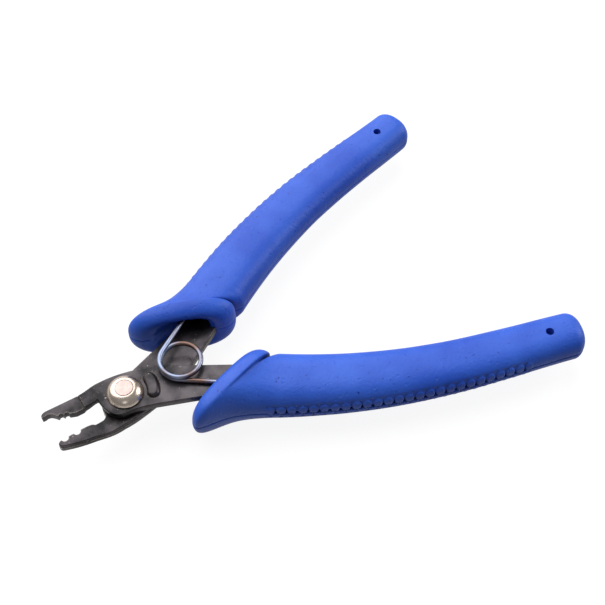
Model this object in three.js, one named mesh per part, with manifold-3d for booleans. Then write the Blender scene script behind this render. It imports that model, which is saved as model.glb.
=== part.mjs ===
// Bead crimping pliers: two lapped steel halves on a rivet, a wire spring that opens them, and a
// moulded grip round each tang. Millimetres, +Z up.
//
// The origin is on the pivot axis, at the flat end of the rivet's rear head. +X runs from the pivot
// towards the handles, the jaws point to -X, and +Z is the front side. The tool is drawn open.

import * as THREE from 'three';
import { mergeVertices } from 'three/addons/utils/BufferGeometryUtils.js';
import Module from 'manifold-3d';

// Stack on the pivot, from the rear face up
const REAR_HEAD_HEIGHT = 1.6;
const RUNNING_GAP = 0.05;
const PLATE_THICKNESS = 2.3;
const COLLAR_HEIGHT = 2.3;
const LAP_Z = REAR_HEAD_HEIGHT + PLATE_THICKNESS + 2 * RUNNING_GAP;

// Rivet and its collar
const REAR_HEAD_RADIUS = 3.9;
const SHANK_RADIUS = 2.2;
const HOLE_RADIUS = 2.26;
const COLLAR_RADIUS = 4.5;
const COLLAR_TOP_RADIUS = 2.6;
const COLLAR_BORE_RADIUS = 2.22;
const REAR_FACE_RADIUS = 2.2;
const HEAD_RIM = 0.35;
const SHANK_PROUD = 0.05;
const SHANK_CHAMFER = 0.15;
const DOME_STEPS = 6;
const ROUND_SEGMENTS = 40;

// Blades. Each jaw steps half way towards the other plate, so that the jaws meet edge to edge. The
// lapped face stays flat out to the front of the hub; the outer face starts its slope sooner.
const JAW_STEP = PLATE_THICKNESS / 2 + RUNNING_GAP;
const LAP_RAMP_START_X = -6.5;
const FACE_RAMP_START_X = -4.7;
const CREASE_WIDTH = 0.25;
const HUB_FRONT = [-6.3, -2.2, -5.2, -5.2, -1.7, -5.2];
const HUB_UNDERSIDE = [1, -5.2, 3, -6.0, 4.8, -6.5];
const TANG_UNDERSIDE = [13.1, -9.5];
const TANG_BEND_X = 26.5;
const TANG_BEND_UNDERSIDE_Y = -14.6;
const TANG_END = [62.5, -28.8];
const TANG_END_HALF_WIDTH = 2.3;
const PLATE_TIP_X = -22;
const PLATE_END_X = 70;
const PLATE_HALF_SPAN = 60;

// Jaws as drawn on the front plate, seen from its front: the bite runs from root to tip, and each
// crimping notch is a round cut (x, y, radius)
const FRONT_JAW = {
  rampEndX: -9.8,
  creaseDepth: 0.16,
  recess: [[-6.5, 1.85], [-9.6, 2.0]],
  bite: [
    [-10.1, 1.8], [-12.2, 1.8], [-13.6, 2.3], [-15.2, 2.8], [-16.4, 3.15],
    [-17.0, 3.95], [-17.7, 4.6], [-18.4, 4.75], [-19.1, 4.55],
  ],
  tip: [-19.85, 4.6],
  crown: [-18.4, 5.95],
  bulge: [[-13, 5.9], [-8, 5.9]],
  shoulder: [-3.5, 5.9],
  tangTop: [10.8, 2.5],
  tangTopAtBend: -6.5,
  notches: [[-14.35, 2.6, 0.5], [-15.6, 2.95, 0.5]],
};
const BACK_JAW = {
  rampEndX: -12,
  creaseDepth: 0,
  recess: [[-6.5, 1.95], [-7.4, 2.65], [-9.6, 3.15]],
  bite: [[-10.0, 2.9], [-12.6, 2.9], [-15.5, 3.05], [-18.6, 3.2]],
  tip: [-19.25, 3.8],
  crown: [-18.4, 5.05],
  bulge: [[-13.5, 6.7], [-8.5, 7.15]],
  shoulder: [-3.5, 6.5],
  tangTop: [10.8, 4.0],
  tangTopAtBend: -5.7,
  notches: [[-14.15, 2.95, 0.85], [-17.3, 3.1, 0.85]],
};

// Stop: a pip on the back blade rides in a curved pocket that is pressed up out of the front blade
const STOP_PITCH_RADIUS = 6.8;
const STOP_FROM_DEG = -29;
const STOP_TO_DEG = 6;
const STOP_POCKET_RADIUS = 1.05;
const STOP_POCKET_DEPTH = 1.0;
const STOP_BULGE_RADIUS = 1.5;
const STOP_BULGE_HEIGHT = 0.85;
const STOP_PIP_RADIUS = 0.85;
const STOP_PIP_HEIGHT = 0.75;

// Spring, with heights from the lapped faces
const WIRE_RADIUS = 0.6;
const COIL_RADIUS = 5.0;
const COIL_CENTRE = new THREE.Vector2(15.2, 0.45);
const COIL_FROM = THREE.MathUtils.degToRad(126);
const COIL_TO = THREE.MathUtils.degToRad(595);
const LOW_LEG_Z = 3.1;
const HIGH_LEG_Z = 4.6;
const HIGH_LEG_END_Z = 2.6;
const LOW_LEG_LENGTH = 15.5;
const HIGH_LEG_LENGTH = 15;
const SPRING_STEPS = 84;
const WIRE_SEGMENTS = 5;

// Grips, drawn for the front half: the centreline starts behind the flange and ends at the tip
const GRIP_START = new THREE.Vector2(33.6, -15.9);
const GRIP_END = new THREE.Vector2(105.7, -41.3);
const GRIP_START_DEG = -30.7;
const GRIP_END_DEG = -15.7;
const GRIP_START_PULL = 1.37;
const GRIP_END_PULL = 0.87;
const GRIP_WIDTH = [15.7, -5.4, 1.05];
const GRIP_HEIGHT = [11.9, -8.05, 6.4];
const GRIP_MID_Z = -0.4;
const GRIP_EXPONENT = 2.5;
const GRIP_END_ROUNDING = 3.6;
const LOCATING_HOLE_RADIUS = 1.05;
const LOCATING_HOLE_AT = 0.865;

// Flange: a rounded lip in a slanting plane that leans back at the top, drawn like the grip for the
// front half. Its reach is to the inner and the outer side of its centre.
const FRONT_FLANGE = {
  centre: new THREE.Vector2(22.8, -12.32),
  degrees: 19,
  inner: 13.2,
  outer: 13.0,
  halfHeight: 8.4,
};
const BACK_FLANGE = {
  centre: new THREE.Vector2(21.6, -12.87),
  degrees: 19.2,
  inner: 13.8,
  outer: 14.0,
  halfHeight: 8.0,
};
const FLANGE_LEAN_DEG = 6;
const FLANGE_FRONT_DEPTH = 3.8;
const FLANGE_BACK_DEPTH = 0.4;
const FLANGE_INNER_EXPONENT = 2.9;
const FLANGE_OUTER_EXPONENT = 2.5;
const LIP_INNER_STEP = 1.9;
const LIP_TOP_STEP = 0.8;
const LIP_OUTER_STEP = 0.15;
const FLARE_DEG = 17;
const FLARE_INNER_PULL = 0.6;
const FLARE_OUTER_PULL = 0.9;

// Mouth of the grip, where the tang and a spring leg go in
const MOUTH_INNER_REACH = 7.6;
const MOUTH_OUTER_REACH = 8.2;
const MOUTH_HALF_HEIGHT = 4.8;
const MOUTH_DEPTH = 9;
const MOUTH_INNER_TAPER = 0.7;
const MOUTH_OUTER_TAPER = 2.2;
const MOUTH_TOP_TAPER = 0.4;
const MOUTH_CURL = THREE.MathUtils.degToRad(130);
const TANG_CLEARANCE = 0.2;

const AROUND = 32;
const LIP_RINGS = 8;
const LIP_BACK_RINGS = 3;
const FLARE_RINGS = 6;
const HANDLE_RINGS = 16;
const TIP_RINGS = 5;

// How far solids are sunk into each other where they join, and how far cutters pass outside
const OVERLAP = 0.5;
const CUTTER_REACH = 12;

// ---- Solids ----

const wasm = await Module();
wasm.setup();

function toSolid(geometry) {
  const bare = geometry.clone();
  bare.deleteAttribute('normal');
  bare.deleteAttribute('uv');
  const merged = mergeVertices(bare);
  return new wasm.Manifold(new wasm.Mesh({
    numProp: 3,
    vertProperties: merged.attributes.position.array,
    triVerts: new Uint32Array(merged.index.array),
  }));
}

function toGeometry(solid) {
  const mesh = solid.getMesh();
  const geometry = new THREE.BufferGeometry();
  geometry.setAttribute('position', new THREE.BufferAttribute(mesh.vertProperties, 3));
  geometry.setIndex(new THREE.BufferAttribute(mesh.triVerts, 1));
  geometry.computeVertexNormals();
  return geometry;
}

// A flat outline raised from one height to another
function prism(shape, fromZ, toZ, curveSegments = 10) {
  const geometry = new THREE.ExtrudeGeometry(shape, {
    depth: toZ - fromZ,
    bevelEnabled: false,
    curveSegments,
  });
  geometry.translate(0, 0, fromZ);
  return toSolid(geometry);
}

function post(radius, x, y, fromZ, toZ) {
  const geometry = new THREE.CylinderGeometry(radius, radius, toZ - fromZ, ROUND_SEGMENTS);
  geometry.rotateX(Math.PI / 2);
  geometry.translate(x, y, (fromZ + toZ) / 2);
  return toSolid(geometry);
}

// ---- Blades ----

function tangShape(jaw, clearance, startX) {
  const bendTop = jaw.tangTopAtBend + clearance;
  const slope = (jaw.tangTopAtBend - jaw.tangTop[1]) / (TANG_BEND_X - jaw.tangTop[0]);
  const [endX, endY] = TANG_END;
  const endHalf = TANG_END_HALF_WIDTH + clearance;
  const shape = new THREE.Shape();
  shape.moveTo(startX, bendTop + slope * (startX - TANG_BEND_X));
  shape.lineTo(TANG_BEND_X, bendTop);
  shape.lineTo(endX - 1, endY + endHalf);
  shape.quadraticCurveTo(endX + 1 + clearance, endY, endX - 2, endY - endHalf);
  shape.lineTo(TANG_BEND_X, TANG_BEND_UNDERSIDE_Y - clearance);
  shape.lineTo(TANG_UNDERSIDE[0], TANG_UNDERSIDE[1] - clearance);
  shape.lineTo(startX, HUB_UNDERSIDE[5] - clearance);
  return shape;
}

// The plate's outline from above: jaw, hub and the start of the tang
function headShape(jaw) {
  const shape = new THREE.Shape();
  shape.moveTo(...jaw.recess[0]);
  shape.bezierCurveTo(...HUB_FRONT);
  shape.bezierCurveTo(...HUB_UNDERSIDE);
  shape.lineTo(...TANG_UNDERSIDE);
  shape.lineTo(...jaw.tangTop);
  const [shoulderX, shoulderY] = jaw.shoulder;
  shape.bezierCurveTo(5, 4.9, 0.5, shoulderY, shoulderX, shoulderY);
  const [bulgeFront, bulgeRear] = jaw.bulge;
  shape.bezierCurveTo(...bulgeRear, ...bulgeFront, ...jaw.crown);
  const [tipX, tipY] = jaw.tip;
  shape.bezierCurveTo(tipX + 0.3, jaw.crown[1] - 0.1, tipX - 0.1, tipY + 0.7, tipX, tipY);
  for (const point of [...jaw.bite].reverse()) shape.lineTo(...point);
  for (const point of jaw.recess.slice(1).reverse()) shape.lineTo(...point);
  return shape;
}

// The plate from its edge: flat over the hub and tang, stepped at the jaw, with a small crease
// across the outer face of the front jaw
function plateProfile(jaw) {
  const low = RUNNING_GAP;
  const high = low + PLATE_THICKNESS;
  const jawTop = high - JAW_STEP;
  const endX = jaw.rampEndX;
  const lapMidX = (LAP_RAMP_START_X + endX) / 2;
  const faceMidX = (FACE_RAMP_START_X + endX) / 2;
  const shape = new THREE.Shape();
  shape.moveTo(PLATE_TIP_X, low - JAW_STEP);
  shape.lineTo(endX, low - JAW_STEP);
  shape.bezierCurveTo(lapMidX, low - JAW_STEP, lapMidX, low, LAP_RAMP_START_X, low);
  shape.lineTo(PLATE_END_X, low);
  shape.lineTo(PLATE_END_X, high);
  shape.lineTo(FACE_RAMP_START_X, high);
  shape.bezierCurveTo(faceMidX, high, faceMidX, jawTop, endX, jawTop);
  shape.lineTo(endX - CREASE_WIDTH, jawTop - jaw.creaseDepth);
  shape.lineTo(PLATE_TIP_X, jawTop - jaw.creaseDepth);
  return shape;
}

function plate(jaw) {
  const tang = tangShape(jaw, 0, TANG_UNDERSIDE[0] - 1);
  let outline = prism(headShape(jaw), -CUTTER_REACH, CUTTER_REACH);
  outline = outline.add(prism(tang, -CUTTER_REACH, CUTTER_REACH));
  for (const [x, y, radius] of [...jaw.notches, [0, 0, HOLE_RADIUS]]) {
    outline = outline.subtract(post(radius, x, y, -CUTTER_REACH, CUTTER_REACH));
  }
  const slab = new THREE.ExtrudeGeometry(plateProfile(jaw), {
    depth: 2 * PLATE_HALF_SPAN,
    bevelEnabled: false,
    curveSegments: 8,
  });
  slab.rotateX(Math.PI / 2);
  slab.translate(0, PLATE_HALF_SPAN, 0);
  return outline.intersect(toSolid(slab));
}

function stopPoint(degrees) {
  const angle = THREE.MathUtils.degToRad(degrees);
  return [STOP_PITCH_RADIUS * Math.cos(angle), STOP_PITCH_RADIUS * Math.sin(angle)];
}

// A round-ended slot that curves about the pivot
function stopSlot(radius) {
  const from = THREE.MathUtils.degToRad(STOP_FROM_DEG);
  const to = THREE.MathUtils.degToRad(STOP_TO_DEG);
  const shape = new THREE.Shape();
  shape.absarc(0, 0, STOP_PITCH_RADIUS + radius, from, to, false);
  shape.absarc(...stopPoint(STOP_TO_DEG), radius, to, to + Math.PI, false);
  shape.absarc(0, 0, STOP_PITCH_RADIUS - radius, to, from, true);
  shape.absarc(...stopPoint(STOP_FROM_DEG), radius, from + Math.PI, from + 2 * Math.PI, false);
  return shape;
}

function makeFrontBlade() {
  const top = RUNNING_GAP + PLATE_THICKNESS;
  const bulge = prism(stopSlot(STOP_BULGE_RADIUS), top - OVERLAP, top + STOP_BULGE_HEIGHT);
  const pocket = prism(stopSlot(STOP_POCKET_RADIUS), -OVERLAP, RUNNING_GAP + STOP_POCKET_DEPTH);
  return toGeometry(plate(FRONT_JAW).add(bulge).subtract(pocket));
}

// The back plate is drawn like the front one and turned over about the X axis
function makeBackBlade() {
  const [pipX, pipY] = stopPoint(STOP_TO_DEG);
  const top = STOP_PIP_HEIGHT - RUNNING_GAP;
  const geometry = toGeometry(plate(BACK_JAW));
  geometry.rotateX(Math.PI);
  const pip = post(STOP_PIP_RADIUS, pipX, pipY, -RUNNING_GAP - OVERLAP, top);
  return toGeometry(toSolid(geometry).add(pip));
}

// ---- Rivet ----

function lathe(profile) {
  const points = profile.map(([radius, height]) => new THREE.Vector2(radius, height));
  const geometry = new THREE.LatheGeometry(points, ROUND_SEGMENTS);
  geometry.rotateX(Math.PI / 2);
  return geometry;
}

// Points of a quarter ellipse from the rim of a dome to its flat top
function domeProfile(rimRadius, topRadius, rimZ, topZ) {
  const points = [];
  for (let i = 0; i <= DOME_STEPS; i += 1) {
    const angle = (Math.PI / 2) * (i / DOME_STEPS);
    const radius = topRadius + (rimRadius - topRadius) * Math.cos(angle);
    points.push([radius, rimZ + (topZ - rimZ) * Math.sin(angle)]);
  }
  return points;
}

function makeRivet() {
  const collarTop = LAP_Z + RUNNING_GAP + PLATE_THICKNESS + COLLAR_HEIGHT;
  const rimZ = REAR_HEAD_HEIGHT - HEAD_RIM;
  const underside = domeProfile(REAR_HEAD_RADIUS, REAR_FACE_RADIUS, rimZ, 0).reverse();
  return lathe([
    [0, 0],
    ...underside,
    [REAR_HEAD_RADIUS, REAR_HEAD_HEIGHT],
    [SHANK_RADIUS, REAR_HEAD_HEIGHT],
    [SHANK_RADIUS, collarTop - SHANK_PROUD],
    [SHANK_RADIUS - SHANK_CHAMFER, collarTop + SHANK_PROUD],
    [0, collarTop + SHANK_PROUD],
  ]);
}

function makeCollar() {
  const seat = LAP_Z + RUNNING_GAP + PLATE_THICKNESS;
  const top = seat + COLLAR_HEIGHT;
  const dome = domeProfile(COLLAR_RADIUS, COLLAR_TOP_RADIUS, seat + HEAD_RIM, top);
  return lathe([
    [COLLAR_BORE_RADIUS, seat],
    [COLLAR_RADIUS, seat],
    ...dome,
    [COLLAR_BORE_RADIUS, top],
    [COLLAR_BORE_RADIUS, seat],
  ]);
}

// ---- Spring ----

// One wire: a high leg in from the back grip, one and a third turns falling, a low leg out to the
// front grip
class SpringPath extends THREE.Curve {
  getPoint(t, target = new THREE.Vector3()) {
    const coilLength = COIL_RADIUS * (COIL_TO - COIL_FROM);
    const along = t * (HIGH_LEG_LENGTH + coilLength + LOW_LEG_LENGTH);
    const onCoil = THREE.MathUtils.clamp((along - HIGH_LEG_LENGTH) / coilLength, 0, 1);
    const angle = COIL_FROM + (COIL_TO - COIL_FROM) * onCoil;
    const beforeCoil = Math.max(0, HIGH_LEG_LENGTH - along);
    const afterCoil = Math.max(0, along - HIGH_LEG_LENGTH - coilLength);
    const straight = afterCoil - beforeCoil;
    const x = COIL_CENTRE.x + COIL_RADIUS * Math.cos(angle) - straight * Math.sin(angle);
    const y = COIL_CENTRE.y + COIL_RADIUS * Math.sin(angle) + straight * Math.cos(angle);
    const legDrop = (HIGH_LEG_Z - HIGH_LEG_END_Z) * (beforeCoil / HIGH_LEG_LENGTH);
    const z = THREE.MathUtils.lerp(HIGH_LEG_Z, LOW_LEG_Z, onCoil) - legDrop;
    return target.set(x, y, z);
  }
}

function makeSpring() {
  const wire = new THREE.Shape();
  wire.absarc(0, 0, WIRE_RADIUS, 0, 2 * Math.PI);
  return new THREE.ExtrudeGeometry(wire, {
    extrudePath: new SpringPath(),
    steps: SPRING_STEPS,
    curveSegments: WIRE_SEGMENTS,
  });
}

// ---- Grips ----

function direction(degrees) {
  const angle = THREE.MathUtils.degToRad(degrees);
  return new THREE.Vector2(Math.cos(angle), Math.sin(angle));
}

function hermite(start, end, startTangent, endTangent, t) {
  const t2 = t * t;
  const t3 = t2 * t;
  return new THREE.Vector2()
    .addScaledVector(start, 2 * t3 - 3 * t2 + 1)
    .addScaledVector(startTangent, t3 - 2 * t2 + t)
    .addScaledVector(end, 3 * t2 - 2 * t3)
    .addScaledVector(endTangent, t3 - t2);
}

function quadratic([constant, linear, square], t) {
  return constant + linear * t + square * t * t;
}

function smooth(t) {
  return t * t * (3 - 2 * t);
}

function leftOf(vector) {
  return new THREE.Vector2(-vector.y, vector.x);
}

const handleStart = direction(GRIP_START_DEG);
const lean = Math.tan(THREE.MathUtils.degToRad(FLANGE_LEAN_DEG));
const gripLength = GRIP_START.distanceTo(GRIP_END);

// A ring is a rounded rectangle that stands on the plan: centre, direction to its inner side,
// reach to each side, half height, squareness of each side and how far its top leans back
function lipRing(flange, offset, shrink) {
  const across = direction(flange.degrees);
  const forward = leftOf(across);
  return {
    centre: flange.centre.clone().addScaledVector(forward, offset),
    across,
    inner: flange.inner - shrink.inner,
    outer: flange.outer - shrink.outer,
    half: flange.halfHeight - shrink.top,
    innerExponent: FLANGE_INNER_EXPONENT,
    outerExponent: FLANGE_OUTER_EXPONENT,
    back: forward.multiplyScalar(-lean),
  };
}

// From the edge of the mouth, over the front of the lip, to its crest
function lipFrontRings(flange) {
  const full = 1 - Math.cos(MOUTH_CURL);
  const rings = [];
  for (let i = 0; i < LIP_RINGS; i += 1) {
    const angle = MOUTH_CURL * (1 - i / LIP_RINGS);
    const share = (1 - Math.cos(angle)) / full;
    rings.push(lipRing(flange, FLANGE_FRONT_DEPTH * Math.sin(angle), {
      inner: (flange.inner - MOUTH_INNER_REACH) * share,
      outer: (flange.outer - MOUTH_OUTER_REACH) * share,
      top: (flange.halfHeight - MOUTH_HALF_HEIGHT) * share,
    }));
  }
  return rings;
}

function lipBackRings(flange) {
  const rings = [];
  for (let i = 0; i <= LIP_BACK_RINGS; i += 1) {
    const angle = (Math.PI / 2) * (i / LIP_BACK_RINGS);
    const share = 1 - Math.cos(angle);
    rings.push(lipRing(flange, -FLANGE_BACK_DEPTH * Math.sin(angle), {
      inner: LIP_INNER_STEP * share,
      outer: LIP_OUTER_STEP * share,
      top: LIP_TOP_STEP * share,
    }));
  }
  return rings;
}

// Sections that fan out from the flange to the handle
function flareRings(flange) {
  const last = lipBackRings(flange)[LIP_BACK_RINGS];
  const innerFrom = last.centre.clone().addScaledVector(last.across, last.inner);
  const outerFrom = last.centre.clone().addScaledVector(last.across, -last.outer);
  const halfWidth = quadratic(GRIP_WIDTH, 0) / 2;
  const inward = leftOf(handleStart);
  const innerTo = GRIP_START.clone().addScaledVector(inward, halfWidth);
  const outerTo = GRIP_START.clone().addScaledVector(inward, -halfWidth);
  const innerRun = innerFrom.distanceTo(innerTo);
  const outerRun = outerFrom.distanceTo(outerTo);
  const innerOut = handleStart.clone().multiplyScalar(innerRun);
  const outerOut = handleStart.clone().multiplyScalar(outerRun);
  const innerIn = handleStart.clone().multiplyScalar(innerRun * FLARE_INNER_PULL);
  const outerIn = direction(FLARE_DEG).multiplyScalar(outerRun * FLARE_OUTER_PULL);
  const rings = [];
  for (let i = 1; i < FLARE_RINGS; i += 1) {
    const t = i / FLARE_RINGS;
    const share = smooth(t);
    const inner = hermite(innerFrom, innerTo, innerIn, innerOut, t);
    const outer = hermite(outerFrom, outerTo, outerIn, outerOut, t);
    const half = inner.distanceTo(outer) / 2;
    rings.push({
      centre: inner.clone().add(outer).multiplyScalar(0.5),
      across: inner.clone().sub(outer).normalize(),
      inner: half,
      outer: half,
      half: THREE.MathUtils.lerp(last.half, quadratic(GRIP_HEIGHT, 0) / 2, share),
      innerExponent: THREE.MathUtils.lerp(FLANGE_INNER_EXPONENT, GRIP_EXPONENT, share),
      outerExponent: THREE.MathUtils.lerp(FLANGE_OUTER_EXPONENT, GRIP_EXPONENT, share),
      back: last.back.clone().multiplyScalar(1 - t),
    });
  }
  return rings;
}

function handlePoint(t) {
  const startTangent = handleStart.clone().multiplyScalar(gripLength * GRIP_START_PULL);
  const endTangent = direction(GRIP_END_DEG).multiplyScalar(gripLength * GRIP_END_PULL);
  return hermite(GRIP_START, GRIP_END, startTangent, endTangent, t);
}

function handleRing(t, rounding) {
  const step = 0.001;
  const along = handlePoint(t + step).sub(handlePoint(t - step)).normalize();
  const halfWidth = quadratic(GRIP_WIDTH, t) / 2 - rounding;
  return {
    centre: handlePoint(t),
    across: leftOf(along),
    inner: halfWidth,
    outer: halfWidth,
    half: quadratic(GRIP_HEIGHT, t) / 2 - 0.75 * rounding,
    innerExponent: GRIP_EXPONENT,
    outerExponent: GRIP_EXPONENT,
    back: new THREE.Vector2(),
  };
}

function handleRings() {
  const rings = [];
  const roundFrom = 1 - GRIP_END_ROUNDING / gripLength;
  for (let i = 0; i < HANDLE_RINGS; i += 1) {
    rings.push(handleRing(roundFrom * (i / HANDLE_RINGS), 0));
  }
  for (let i = 0; i <= TIP_RINGS; i += 1) {
    const angle = (Math.PI / 2) * (i / TIP_RINGS);
    const t = roundFrom + (1 - roundFrom) * Math.sin(angle);
    rings.push(handleRing(t, GRIP_END_ROUNDING * (1 - Math.cos(angle))));
  }
  return rings;
}

function ringPoint(ring, angle, radius, target) {
  const cosine = Math.cos(angle);
  const sine = Math.sin(angle);
  const exponent = cosine > 0 ? ring.innerExponent : ring.outerExponent;
  const reach = cosine > 0 ? ring.inner : ring.outer;
  const sideways = Math.sign(cosine) * Math.abs(cosine) ** (2 / exponent) * reach * radius;
  const up = Math.sign(sine) * Math.abs(sine) ** (2 / exponent) * ring.half * radius;
  target.x = ring.centre.x + ring.across.x * sideways + ring.back.x * up;
  target.y = ring.centre.y + ring.across.y * sideways + ring.back.y * up;
  target.z = GRIP_MID_Z + up;
}

// A cylinder whose rings of vertices are moved onto the given rings, first ring at its top
function loft(rings) {
  const geometry = new THREE.CylinderGeometry(1, 1, 1, AROUND, rings.length - 1);
  const position = geometry.attributes.position;
  const point = new THREE.Vector3();
  for (let i = 0; i < position.count; i += 1) {
    const ring = rings[Math.round((0.5 - position.getY(i)) * (rings.length - 1))];
    const x = position.getX(i);
    const z = position.getZ(i);
    const radius = Math.min(1, Math.hypot(x, z));
    ringPoint(ring, Math.atan2(z, x), radius, point);
    position.setXYZ(i, point.x, point.y, point.z);
  }
  return toSolid(geometry);
}

// The hollow behind the mouth tapers and follows the handle
function mouthHollow(flange) {
  const edge = FLANGE_FRONT_DEPTH * Math.sin(MOUTH_CURL);
  const opening = {
    inner: flange.inner - MOUTH_INNER_REACH,
    outer: flange.outer - MOUTH_OUTER_REACH,
    top: flange.halfHeight - MOUTH_HALF_HEIGHT,
  };
  const floor = lipRing(flange, edge, {
    inner: opening.inner + MOUTH_INNER_TAPER,
    outer: opening.outer + MOUTH_OUTER_TAPER,
    top: opening.top + MOUTH_TOP_TAPER,
  });
  floor.centre.addScaledVector(handleStart, MOUTH_DEPTH);
  const outside = lipRing(flange, edge + FLANGE_FRONT_DEPTH, opening);
  return loft([outside, lipRing(flange, edge, opening), floor]);
}

// A grip on the -Y side, hollowed for the tang that lies between the two heights
function gripSolid(jaw, flange, tangFromZ, tangToZ) {
  const lip = [...lipFrontRings(flange), ...lipBackRings(flange)];
  const rings = [...lip, ...flareRings(flange), ...handleRings()];
  const pocketShape = tangShape(jaw, TANG_CLEARANCE, HUB_UNDERSIDE[4]);
  const pocket = prism(pocketShape, tangFromZ - TANG_CLEARANCE, tangToZ + TANG_CLEARANCE);
  const hole = handlePoint(LOCATING_HOLE_AT);
  return loft(rings)
    .subtract(mouthHollow(flange))
    .subtract(pocket)
    .subtract(post(LOCATING_HOLE_RADIUS, hole.x, hole.y, -CUTTER_REACH, CUTTER_REACH));
}

function makeFrontGrip() {
  const top = RUNNING_GAP + PLATE_THICKNESS;
  return toGeometry(gripSolid(FRONT_JAW, FRONT_FLANGE, RUNNING_GAP, top));
}

// The mirror image of the front grip, round the lower plate's tang
function makeBackGrip() {
  const bottom = -RUNNING_GAP - PLATE_THICKNESS;
  const geometry = toGeometry(gripSolid(BACK_JAW, BACK_FLANGE, bottom, -RUNNING_GAP));
  geometry.scale(1, -1, 1);
  const corners = geometry.index.array;
  for (let i = 0; i < corners.length; i += 3) {
    [corners[i], corners[i + 1]] = [corners[i + 1], corners[i]];
  }
  geometry.computeVertexNormals();
  return geometry;
}

// ---- Assembly ----

function blackSteel() {
  return new THREE.MeshStandardMaterial({ color: 0x3a3635, roughness: 0.42, metalness: 0.85 });
}

function rivetNickel() {
  return new THREE.MeshStandardMaterial({ color: 0xd8c8b8, roughness: 0.18, metalness: 1 });
}

function springSteel() {
  return new THREE.MeshStandardMaterial({ color: 0x8a8f9c, roughness: 0.3, metalness: 1 });
}

function blueGrip() {
  return new THREE.MeshStandardMaterial({ color: 0x2f4fb8, roughness: 0.55, metalness: 0 });
}

function piece(name, geometry, material) {
  const mesh = new THREE.Mesh(geometry, material);
  mesh.name = name;
  return mesh;
}

const pliers = new THREE.Group();
pliers.add(piece('pivot_rivet', makeRivet(), rivetNickel()));
pliers.add(piece('rivet_collar', makeCollar(), rivetNickel()));

// Everything that is drawn from the lapped faces
const halves = new THREE.Group();
halves.position.z = LAP_Z;
halves.add(piece('front_blade', makeFrontBlade(), blackSteel()));
halves.add(piece('back_blade', makeBackBlade(), blackSteel()));
halves.add(piece('return_spring', makeSpring(), springSteel()));
halves.add(piece('front_grip', makeFrontGrip(), blueGrip()));
halves.add(piece('back_grip', makeBackGrip(), blueGrip()));
pliers.add(halves);

export default pliers;
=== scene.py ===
# The looks of the bead crimping pliers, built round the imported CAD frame.
# Shapes are worked out in millimetres from the lapped faces of the two blades (z = 0 is the
# lap), and turned into metres in the row frame when they become meshes.

import math
from collections import namedtuple

import bpy
import bmesh
import numpy as np
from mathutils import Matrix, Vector, noise


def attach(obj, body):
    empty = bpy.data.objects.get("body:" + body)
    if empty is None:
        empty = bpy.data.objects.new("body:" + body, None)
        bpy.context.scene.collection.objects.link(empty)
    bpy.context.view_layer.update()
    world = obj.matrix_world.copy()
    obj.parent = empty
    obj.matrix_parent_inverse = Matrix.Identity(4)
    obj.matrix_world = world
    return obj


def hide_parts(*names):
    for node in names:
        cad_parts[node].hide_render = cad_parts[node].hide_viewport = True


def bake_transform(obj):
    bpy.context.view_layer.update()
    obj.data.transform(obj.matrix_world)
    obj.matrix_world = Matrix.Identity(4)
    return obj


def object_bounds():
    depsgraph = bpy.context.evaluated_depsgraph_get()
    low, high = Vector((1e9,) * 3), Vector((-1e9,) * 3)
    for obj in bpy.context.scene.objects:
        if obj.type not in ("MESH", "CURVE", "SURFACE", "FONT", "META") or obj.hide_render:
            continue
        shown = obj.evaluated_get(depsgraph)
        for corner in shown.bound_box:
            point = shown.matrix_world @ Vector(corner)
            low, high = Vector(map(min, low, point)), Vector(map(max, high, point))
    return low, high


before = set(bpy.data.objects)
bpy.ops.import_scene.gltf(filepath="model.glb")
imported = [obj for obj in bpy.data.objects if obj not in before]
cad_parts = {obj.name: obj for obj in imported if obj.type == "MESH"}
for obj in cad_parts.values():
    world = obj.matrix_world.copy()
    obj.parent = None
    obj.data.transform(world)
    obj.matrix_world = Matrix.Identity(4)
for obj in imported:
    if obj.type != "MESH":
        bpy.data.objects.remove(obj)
cad_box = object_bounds()

MM = 0.001
LAP_Z = 4.0

# Stack on the pivot
RUNNING_GAP = 0.05
PLATE_THICKNESS = 2.3
PLATE_TOP = RUNNING_GAP + PLATE_THICKNESS
COLLAR_HEIGHT = 2.3
COLLAR_RADIUS = 4.5
COLLAR_TOP_RADIUS = 2.4
COLLAR_RIM = 0.4
COLLAR_SLOPES = (66, 12)
SHANK_RADIUS = 2.2
REAR_HEAD_RADIUS = 3.9
REAR_HEAD_HEIGHT = 1.6
REAR_FACE_RADIUS = 2.2
REAR_RIM = 0.35
HOLE_RADIUS = 2.26
HOLE_CUTTER_HEIGHTS = (-3, 6)
AXIS_RADIUS = 0.01

# Broken corners of the rivet and its collar, as (outwards, up) steps from the sharp corner
COLLAR_FOOT = [(-0.22, 0), (-0.1, 0.03), (-0.02, 0.12)]
COLLAR_BORE_FOOT = [(0.05, 0)]
COLLAR_BORE_RIM = [(0.08, -0.01), (0.03, -0.05), (0.02, -0.3)]
REAR_HEAD_RIM = [(-0.02, -0.12), (-0.15, 0)]
SHANK_END = [(0, -0.12), (-0.04, -0.02), (-0.16, 0.04), (-0.4, 0.05)]

# Blades. Towards the jaws each plate ramps down by JAW_STEP, which brings the two jaws level.
JAW_STEP = PLATE_THICKNESS / 2 + RUNNING_GAP
LAP_RAMP_START_X = -6.5
FACE_RAMP_START_X = -4.7
CREASE_WIDTH = 0.2
SCORE_WIDTH = 0.14
EDGE_ROUNDING = 0.24
EDGE_SLOPES = (90, 65, 40, 20, 0)
SHEAR_LEDGE = 0.14
SHEAR_LEDGE_RISES = (-0.02, 0.03)
TOOTH_HEIGHT = 0.9
TANG_NARROW_X = 55
FINE_EDGE_SHARE = 0.3
OUTLINE_STEP = 0.12
RAMP_CUTS = 17
SCORE_CUTS = 9

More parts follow.
